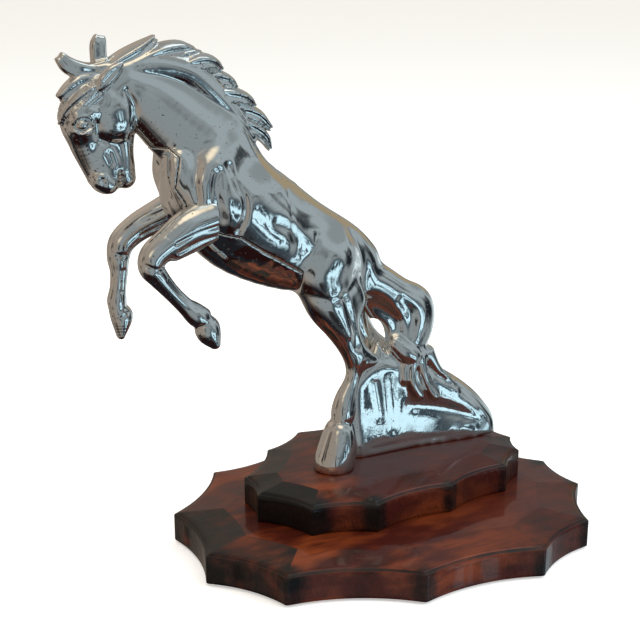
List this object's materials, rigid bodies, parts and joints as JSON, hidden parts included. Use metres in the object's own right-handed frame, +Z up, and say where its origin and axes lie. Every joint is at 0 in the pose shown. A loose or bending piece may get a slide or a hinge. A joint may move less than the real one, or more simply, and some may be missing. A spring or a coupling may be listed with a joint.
{
  "type": "hood ornament",
  "caption": "Rearing horse casting in bright plate, bolted through its foot to a stepped, scalloped wooden plinth with a felt base.",
  "frame": {"origin": "centre of the felt face that the lower plinth rests on", "axes": "the horse faces -X, its left side faces -Y, and +Z is up"},
  "size_m": [0.2889, 0.179, 0.2844],
  "materials": {
    "chrome_plate": "bright polished chrome over a zinc die casting, with slight pits",
    "zinc_plated_steel": "bright zinc plate, satin",
    "stained_wood": "dark red-brown stain with scorched edges under gloss varnish",
    "brass": "plain brass wood screws, satin",
    "felt": "green wool felt, matt"
  },
  "bodies": {
    "root": {"horse_casting": "chrome_plate", "belly_plate": "chrome_plate", "near_foreleg": "chrome_plate", "far_foreleg": "chrome_plate", "front_stud": "zinc_plated_steel", "rear_stud": "zinc_plated_steel", "front_flat_washer": "zinc_plated_steel", "rear_flat_washer": "zinc_plated_steel", "front_lock_washer": "zinc_plated_steel", "rear_lock_washer": "zinc_plated_steel", "front_nut": "zinc_plated_steel", "rear_nut": "zinc_plated_steel", "upper_plinth": "stained_wood", "lower_plinth": "stained_wood", "plinth_screw_1": "brass", "plinth_screw_2": "brass", "plinth_screw_3": "brass", "plinth_screw_4": "brass", "felt_base": "felt"}
  },
  "joints": []
}
